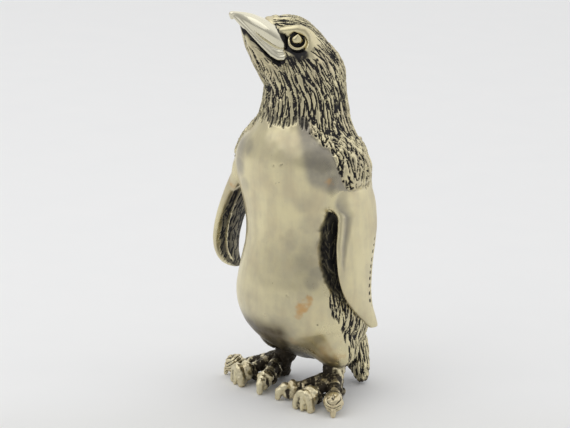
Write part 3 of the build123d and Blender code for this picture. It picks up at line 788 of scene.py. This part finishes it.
fold_line = [
    (8.3, 0.85, 53.35), (6.6, 1.5, 51.65), (5.3, 2.1, 50.5), (4.5, 2.45, 50.1), (3.9, 2.7, 50.1),
]
lips = bmesh.new()
for side in (1, -1):
    lip = [on_head(forward, side * left, up) for forward, left, up in mouth_line]
    bead_line(lips, lip, [0.22, 0.28, 0.36, 0.46, 0.52, 0.5, 0.46, 0.34])
    fold = [on_head(forward, side * left, up) for forward, left, up in fold_line]
    bead_line(lips, fold, [0.3, 0.42, 0.5, 0.52, 0.45])
hook = [on_head(10.5, 0, 55.3), on_head(10.4, 0, 54.8)]
bead_line(lips, hook, [0.4, 0.32])
fine = 0.08


def beak_shade(spots, depth):
    """Oxide of the beak: in its cavities, and where it sinks into the face."""
    ahead = spots @ gaze - neck_back * gaze[1]
    face = np.interp(spots[:, 2], [49.85, 51.2, 52.5, 53.6, 54.3], [3.0, 3.85, 4.3, 4.8, 4.9])
    return 2 * depth + 0.9 * step(0.1, -0.25, ahead - face + 0.15 * hills(spots / 0.5, 97))


pieces["upper_beak"] = melted(
    "upper_beak_shell", joined_mesh(["upper_beak"], 0.03, lips), fine, 10, beak_shade)
store(pieces["upper_beak"].data, "bare", np.ones(len(pieces["upper_beak"].data.vertices)))

# %% [markdown]
# Each eye is a pointed bead inside a ring of wire, which is strongest under the eye like a lower lid.

# %% Eyes
ring_half_length, ring_half_height, ring_drop = 1.2, 1.0, 0.1
ring_steps = 24
eye_bead_radius, eye_tip_radius = 0.62, 0.12
for word, side in (("left", 1), ("right", -1)):
    ring = bmesh.new()
    loop = []
    thick = []
    for number in range(ring_steps + 1):
        turn = radians(360 / ring_steps * number)
        lateral = 3.66 - (0.8 if number < ring_steps / 2 else 0.4) * sin(turn)
        ahead = eye_forward + ring_half_length * cos(turn)
        up = eye_up - ring_drop + ring_half_height * sin(turn)
        loop.append(on_head(ahead, side * lateral, up))
        thick.append(0.17 - 0.06 * sin(turn))
    bead_line(ring, loop, thick, 3)
    bead = bmesh.new()
    low = [on_head(eye_forward + share, side * 3.55, eye_up + 0.1) for share in (-0.2, 0.2)]
    tip = on_head(eye_forward, side * 4.0, eye_up + 0.85)
    bead_line(bead, low, [eye_bead_radius, eye_bead_radius])
    for spot in low:
        bead_line(bead, [spot, tip], [eye_bead_radius, eye_tip_radius], 12)
    for name, form in ((word + "_eye_ring", ring), (word + "_eye", bead)):
        whole = mesh_of(name, form)
        pieces[name] = melted(name + "_wax", whole, fine, 4, lambda spots, depth: 4 * depth)

# %% [markdown]
# The feet are cast rough and left yellowish. Every toe is a dark rod with ring-like knuckles and ends
# in a ball under a rolled cuticle, from which a claw reaches down to the floor. A toe is built along
# its own axis and then turned to its place at the leg.

# %% Toes
foot_turn = {"left": 0.0, "right": 24.0}
splays = {
    "left": {"inner": -42.0, "middle": 0.0, "outer": 37.0},
    "right": {"inner": -42.0, "middle": 0.0, "outer": 34.0},
}
first_knuckle, second_knuckle = 2.7, 4.5


def arch(form, forward, half, top, thick, lean):
    """A rolled cuticle: a bow over the toe from floor to floor."""
    bow = []
    for turn in range(0, 181, 20):
        high = sin(radians(turn))
        bow.append((forward + lean * high, half * cos(radians(turn)), 0.5 + (top - 0.5) * high))
    bead_line(form, bow, [thick] * len(bow), 3)


def toe_form(kind):
    """The beads of a toe. It points along X with the leg at the origin."""
    form = bmesh.new()
    bead_line(form, [(0.8, 0, 3.1), (3.0, 0, 2.5), (5.8, 0, 1.7)], [1.1, 0.92, 0.85])
    for spot, half, thick in ((first_knuckle, 0.95, 0.34), (second_knuckle, 0.92, 0.42)):
        loop = []
        for turn in range(0, 361, 30):
            across, high = cos(radians(turn)), sin(radians(turn))
            up = max(2.3 - 0.22 * spot + half * high + 0.2, thick)
            loop.append((spot + 0.25 * high, half * across, up))
        bead_line(form, loop, [thick] * len(loop), 3)
    if kind == "middle":
        bead_line(form, [(5.9, 0, 1.6), (6.3, 0, 1.4)], [1.45, 1.3])
        bead_line(form, [(6.65, -0.7, 0.8), (6.65, 0.7, 0.8)], [0.8, 0.8])
        bead_line(form, [(6.65, -0.45, 1.75), (6.65, 0.45, 1.75)], [0.84, 0.84])
        bead_line(form, [(5.5, -0.7, 2.4), (5.7, 0, 2.75), (5.5, 0.7, 2.4)], [0.66, 0.72, 0.66])
        arch(form, 7.05, 1.28, 2.65, 0.62, 0.0)
        bead_line(form, [(6.9, 0, 2.5), (7.35, 0, 1.9), (7.5, 0, 0.34)], [0.5, 0.36, 0.32])
    if kind == "inner":
        bead_line(form, [(6.1, 0, 1.3), (6.8, 0, 1.1)], [1.05, 0.9])
        bead_line(form, [(6.0, -0.75, 1.9), (6.1, 0, 2.4), (6.0, 0.75, 1.9)], [0.6, 0.66, 0.6])
        bead_line(form, [(7.2, 0, 2.0), (8.0, 0, 1.4), (8.25, 0, 0.48)], [0.7, 0.62, 0.45])
    if kind == "outer":
        bead_line(form, [(6.7, 0, 1.75), (6.95, 0, 1.75)], [1.5, 1.45])
        bead_line(form, [(7.8, 0, 1.2), (8.2, 0, 0.8), (8.25, 0, 0.4)], [0.46, 0.44, 0.38])
    return form


def toe_piece(word, kind):
    """One toe at its place, roughened, with oxide in its cavities and on its rod, painted shade in its
    recesses, and a painted highlight on the rod's upper side and knuckle tops.
    """
    done = remeshed(mesh_of("toe", toe_form(kind)), fine, 4)
    spots = rows(done)
    out = normals(done)
    seed = 20 + len(pieces)
    rough = 0.09 * hills(spots / 0.7, seed) + 0.05 * hills(spots / 0.28, seed + 40)
    across = np.abs(spots[:, 1])
    # shade is painted shade in a recess under the middle toe's cuticle and in the gap behind the inner
    # toe's claw; the outer toe's wraps are oxide lines.
    shade = np.zeros(len(spots))
    if kind == "middle":
        recess = step(0.35, 0.5, across) * step(1.1, 0.95, across) * step(2.3, 1.8, spots[:, 2])
        shade += 0.4 * recess * step(0.2, -0.3, spots[:, 1]) * (spots[:, 0] > 6.4)
    if kind == "inner":
        shade += step(6.5, 6.8, spots[:, 0]) * step(7.5, 7.0, spots[:, 0]) * step(2.2, 1.4, spots[:, 2])
    if kind == "outer":
        wraps = np.sin(12.0 * (0.6 * spots[:, 0] + spots[:, 2] + 0.25 * hills(spots / 0.9, seed + 80)))
        wraps = step(0.3, 1.0, wraps) * step(5.4, 6.0, spots[:, 0]) * step(8.5, 8.2, spots[:, 0])
        rough -= 0.14 * wraps
        shade += 0.4 * wraps
    spots = spots + out * rough[:, None]
    spots[:, 2] = np.maximum(spots[:, 2], 0.0)
    place_rows(done, spots)
    # The rod is dark oxide, made lighter on its upper side and on the knuckle tops as a painted
    # highlight.
    on_first = step(0.45, 0.2, np.abs(spots[:, 0] - first_knuckle))
    on_second = step(0.5, 0.25, np.abs(spots[:, 0] - second_knuckle))
    ringed = np.maximum(on_first, on_second)
    rod = step(5.7, 4.9, spots[:, 0]) * (1.0 - 0.22 * step(0.55, 0.95, out[:, 2]))
    rod = rod * (1 - 0.4 * ringed * step(0.1, 0.6, out[:, 2]))
    store(done, "oxide_and_shade", np.clip(7 * cavity(done, 30) + rod + shade, 0, 1))
    side = 1 if word == "left" else -1
    heading = radians(foot_turn[word] + splays[word][kind])
    ahead = Vector((side * sin(heading), -cos(heading), 0))
    up = Vector((0, 0, 1))
    place = Matrix((ahead, up.cross(ahead), up)).transposed().to_4x4()
    done.transform(to_frame @ Matrix.Translation(leg_spots[word]) @ place)
    done.shade_smooth()
    return show(word + "_" + kind + "_toe_cast", done)


def leg_shade(spots, base):
    """Darkening of a leg: oxide streaks all over, and painted shade on the side towards the other leg.
    """
    streaks = step(-0.1, 0.6, hills(spots * [1.6, 1.6, 0.5], 90))
    inward = (base.x - spots[:, 0]) * (1 if base.x > 0 else -1)
    return 0.24 + 0.26 * streaks + 0.6 * step(-1.5, 0.0, inward)


for word in ("left", "right"):
    for kind in ("inner", "middle", "outer"):
        pieces[word + "_" + kind + "_toe"] = toe_piece(word, kind)
    shank = bmesh.new()
    base = leg_spots[word]
    inward = -0.4 if word == "left" else 1.4
    joints = [(inward, 0.3, 8.0), (0.8 * inward, 0.2, 5.0), (0.3 * inward, -0.1, 2.8), (0, 0.1, 0.95)]
    bead_line(shank, [base + Vector(spot) for spot in joints], [2.1, 1.75, 1.5, 0.95])
    bead_line(shank, [base + Vector((0, 0.3, 1.2)), base + Vector((0, 1.3, 0.6))], [0.8, 0.6])
    whole = mesh_of(word + "_leg_wax", shank)
    pieces[word + "_leg"] = melted(
        word + "_leg_cast", whole, fine, 6,
        lambda spots, depth: 4 * depth + leg_shade(spots, base), 0.2)
print("pieces:", sorted(pieces))

# %% [markdown]
# Shader sums are written as ordinary sums. A Wire is one socket that can be added and multiplied,
# and a Finish is the node tree of a material or of the surround, which makes any node in one call.

# %% Shader tools
class Wire:
    """A socket of a node tree that takes part in sums."""

    def __init__(self, finish, socket):
        self.finish = finish
        self.socket = socket

    def sum(self, operation, first, second):
        return self.finish.node("ShaderNodeMath", {"operation": operation}, {0: first, 1: second})

    def __add__(self, other):
        return self.sum("ADD", self, other)

    def __radd__(self, other):
        return self.sum("ADD", other, self)

    def __sub__(self, other):
        return self.sum("SUBTRACT", self, other)

    def __rsub__(self, other):
        return self.sum("SUBTRACT", other, self)

    def __mul__(self, other):
        return self.sum("MULTIPLY", self, other)

    def __rmul__(self, other):
        return self.sum("MULTIPLY", other, self)


class Finish:
    """A node tree with one shader and one method for every other node."""

    def __init__(self, owner, shader):
        owner.use_nodes = True
        self.tree = owner.node_tree
        self.shader = self.tree.nodes[shader]

    def node(self, kind, settings, sockets, output=0):
        made = self.tree.nodes.new(kind)
        for name, value in settings.items():
            setattr(made, name, value)
        for key, value in sockets.items():
            if isinstance(value, Wire):
                self.tree.links.new(value.socket, made.inputs[key])
            else:
                made.inputs[key].default_value = value
        return Wire(self, made.outputs[output])

    def place(self, stretch=(1.0, 1.0, 1.0)):
        spot = self.node("ShaderNodeTexCoord", {}, {}, "Object")
        return self.node("ShaderNodeVectorMath", {"operation": "MULTIPLY"}, {0: spot, 1: stretch})

    def along(self, spot, way):
        sockets = {0: spot, 1: way}
        return self.node("ShaderNodeVectorMath", {"operation": "DOT_PRODUCT"}, sockets, "Value")

    def noise(self, scale, detail=3.0, stretch=(1.0, 1.0, 1.0)):
        sockets = {"Vector": self.place(stretch), "Scale": scale, "Detail": detail}
        return self.node("ShaderNodeTexNoise", {}, sockets, "Fac")

    def ramp(self, value, low, high):
        sockets = {"Value": value, "From Min": low, "From Max": high}
        return self.node("ShaderNodeMapRange", {"interpolation_type": "SMOOTHSTEP"}, sockets)

    def stored(self, name):
        return self.node("ShaderNodeAttribute", {"attribute_name": name}, {}, "Fac")

    def mix(self, share, first, second):
        sockets = {"Factor": share, "A": first, "B": second}
        return self.node("ShaderNodeMix", {"data_type": "RGBA"}, sockets, "Result")

    def give(self, **sockets):
        for key, value in sockets.items():
            socket = self.shader.inputs[key.replace("_", " ")]
            if isinstance(value, Wire):
                self.tree.links.new(value.socket, socket)
            else:
                socket.default_value = value


# %% [markdown]
# Worn silver: a warm polished metal with blotches where the polish has tarnished, fine scratches that
# run with the polishing cloth, pits of the casting, and black oxide wherever the graver has been.
# Painted shade is mixed in too: black with the oxide in shaded hollows and undersides, grey under the
# mantle, in the left flipper's valley and low on the belly, and brown under the belly and tail.

# %% Silver finishes
def tint(red, green, blue):
    """A colour with its alpha."""
    return (red, green, blue, 1.0)


bright_silver = tint(0.76, 0.685, 0.44)
foot_bright = tint(0.78, 0.7, 0.47)
bare_silver = tint(0.82, 0.79, 0.66)
dull_silver = tint(0.62, 0.56, 0.39)
tan_silver = tint(0.66, 0.5, 0.3)
grey_tarnish_and_shade = tint(0.3, 0.28, 0.245)
orange_solder = tint(0.62, 0.4, 0.19)
brown_shade = tint(0.1, 0.076, 0.044)
black_oxide_and_shade = tint(0.022, 0.021, 0.023)
brown_oxide_and_shade = tint(0.04, 0.031, 0.02)


def silver(name, bright, dark, smooth, tan_share, seed):
    """A worn silver. The vertices say where oxide and painted shade lie, and noise makes the rest."""
    material = bpy.data.materials.new(name)
    look = Finish(material, "Principled BSDF")
    shift = (1.0, 1.0 + 0.01 * seed, 1.0 - 0.013 * seed)
    blotch = look.noise(210.0, 4.0, shift)
    cloud = look.noise(700.0, 5.0, shift)
    pits = look.noise(3600.0, 3.0, shift)
    scratch = look.noise(2600.0, 4.0, (1.0, 1.0, 0.07))
    streak = look.noise(520.0, 5.0, (1.0, 1.0, 0.14))
    bare = look.stored("bare")
    oxide_and_shade_here = look.stored("oxide_and_shade")
    dulled = look.ramp(0.5 * blotch + 0.5 * streak + 0.25 * cloud, 0.5, 0.8)
    tanned = look.ramp(0.6 * blotch + 0.4 * streak - 0.3 * cloud, 0.3, 0.5) * tan_share
    marked_orange = look.stored("orange") * look.ramp(cloud, 0.3, 0.65)
    marked_brown = look.stored("brown") * (0.75 + 0.4 * cloud)
    marked_grey = look.stored("grey") * (0.6 + 0.6 * cloud)
    pitted = look.ramp(pits, 0.7, 0.76)
    black = look.ramp(oxide_and_shade_here + 0.35 * pitted + 0.25 * (cloud - 0.5), 0.12, 0.75)
    colour = look.mix(dulled, bright, dull_silver)
    colour = look.mix(tanned, colour, tan_silver)
    # The grey, orange and brown marks: painted grey shade with tarnish, orange stains, and painted
    # brown shade on the undersides.
    colour = look.mix(marked_grey, colour, grey_tarnish_and_shade)
    colour = look.mix(marked_orange, colour, orange_solder)
    colour = look.mix(marked_brown, colour, brown_shade)
    colour = look.mix(0.75 * bare, colour, bare_silver)
    colour = look.mix(black, colour, dark)
    rough = smooth + 0.12 * dulled + 0.1 * (scratch - 0.5) + 0.3 * black - 0.15 * bare
    height = 0.5 * scratch + 0.3 * cloud - 0.6 * pitted
    bump = look.node("ShaderNodeBump", {}, {"Strength": 0.25, "Distance": 0.00004, "Height": height})
    look.give(Base_Color=colour, Roughness=rough, Metallic=1.0 - 0.35 * black, Normal=bump)
    return material


finishes = {
    "polished_silver": silver("polished_silver", bright_silver, black_oxide_and_shade, 0.29, 0.15, 1),
    "oxidised_silver": silver("oxidised_silver", bright_silver, black_oxide_and_shade, 0.26, 0.15, 2),
    "foot_silver": silver("foot_silver", foot_bright, brown_oxide_and_shade, 0.28, 0.3, 3),
    "eye_silver": silver("eye_silver", bright_silver, black_oxide_and_shade, 0.2, 0.3, 4),
}
slot_of = {}
for slot, names in {
    "polished_silver": ["breast_shell", "left_flipper", "upper_beak"],
    "oxidised_silver": ["back_shell", "hood", "right_flipper", "tail"],
    "eye_silver": ["left_eye", "right_eye", "left_eye_ring", "right_eye_ring"],
}.items():
    for name in names:
        slot_of[name] = slot
for name in nodes:
    slot_of.setdefault(name, "foot_silver")
for name, thing in nodes.items():
    thing.data.materials.clear()
    thing.data.materials.append(finishes[slot_of[name]])
for name, piece in pieces.items():
    piece.data.materials.append(finishes[slot_of[name]])
    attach(piece, "root")
    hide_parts(name)
print("finishes:", sorted(finishes))

# %% [markdown]
# A light tent: an even pale surround that is darker on the camera's side, one soft lamp over the left
# shoulder of the photographer's view, and a pale floor that runs out of the picture.
# The floor before the bird is painted a little darker, as painted shade.

# %% Floor and light
floor_half = 2.0
cool_paper = tint(0.865, 0.87, 0.875)
pale_paper = tint(0.89, 0.89, 0.89)
shaded_near_paper = tint(0.775, 0.775, 0.755)
near_start, near_end = 0.0, 0.035
lamp_spot, lamp_size, lamp_power = (-0.12, -0.26, 0.42), 0.6, 0.62
lamp_aim = Vector((0, 0, 0.03))


def add_floor():
    """A wide pale floor with painted shade that makes it a little darker before the bird."""
    plane = bmesh.new()
    bmesh.ops.create_grid(plane, x_segments=8, y_segments=8, size=floor_half)
    floor = show("floor", mesh_of("floor", plane))
    material = bpy.data.materials.new("floor_paper")
    look = Finish(material, "Principled BSDF")
    fibre = look.noise(90.0, 4.0)
    paper = look.mix(fibre, cool_paper, pale_paper)
    toward = (sin(radians(camera_azimuth)), -cos(radians(camera_azimuth)), 0.0)
    nearer = look.ramp(look.along(look.place(), toward), near_start, near_end)
    look.give(Base_Color=look.mix(nearer, paper, shaded_near_paper), Roughness=0.85)
    floor.data.materials.append(material)


def add_lamp(name, spot, size, power):
    """A square soft lamp that looks at the bird's middle."""
    light = bpy.data.lights.new(name, "AREA")
    light.size = size
    light.energy = power
    lamp = bpy.data.objects.new(name, light)
    bpy.context.scene.collection.objects.link(lamp)
    aim = lamp_aim - Vector(spot)
    lamp.location = spot
    lamp.rotation_euler = aim.to_track_quat("-Z", "Y").to_euler()


def add_world():
    """An even pale surround, dimmer around the camera and to its left."""
    world = bpy.data.worlds.new("tent")
    bpy.context.scene.world = world
    look = Finish(world, "Background")
    spot = look.node("ShaderNodeTexCoord", {}, {}, "Generated")
    turn = radians(camera_azimuth)
    dimmed = [
        ((sin(turn), -cos(turn), 0.1), 0.2, 0.42),
        ((-cos(turn), -sin(turn), 0.0), 0.1, 0.55),
    ]
    strength = 1.0
    for way, start, least in dimmed:
        sockets = {"Value": look.along(spot, way), "From Min": start, "To Min": 1.0, "To Max": least}
        strength = strength * look.node("ShaderNodeMapRange", {}, sockets)
    look.give(Color=tint(1.0, 1.0, 1.0), Strength=strength)


add_floor()
add_world()
add_lamp("key_lamp", lamp_spot, lamp_size, lamp_power)
bpy.context.scene.view_settings.view_transform = "Standard"
print("floor, surround and lamp are in place")
